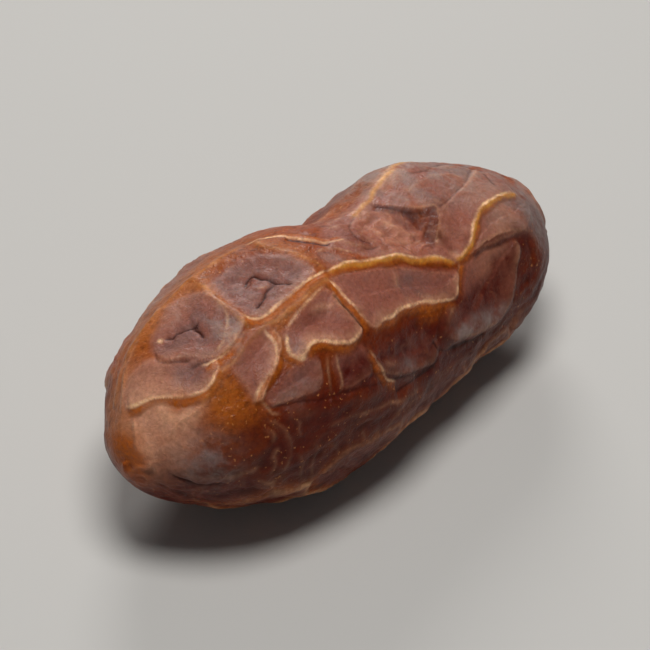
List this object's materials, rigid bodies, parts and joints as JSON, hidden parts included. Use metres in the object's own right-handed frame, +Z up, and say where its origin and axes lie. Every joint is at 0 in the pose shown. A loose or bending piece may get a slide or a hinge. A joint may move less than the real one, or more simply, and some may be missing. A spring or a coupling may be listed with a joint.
{
  "type": "dried date fruit",
  "caption": "Dried Piarom date lying on its side: a long fruit with raised folds between sunken plates of wrinkled skin and a round stalk scar at one end.",
  "frame": {"origin": "on the resting surface, under the middle of the fruit's box", "axes": "+X along the fruit from its rounded tip to its stalk end, +Z up from the surface that it lies on, Y across it"},
  "size_m": [0.0444, 0.0206, 0.0186],
  "materials": {
    "dried_skin": "satin"
  },
  "bodies": {
    "root": {"date": "dried_skin"}
  },
  "joints": []
}
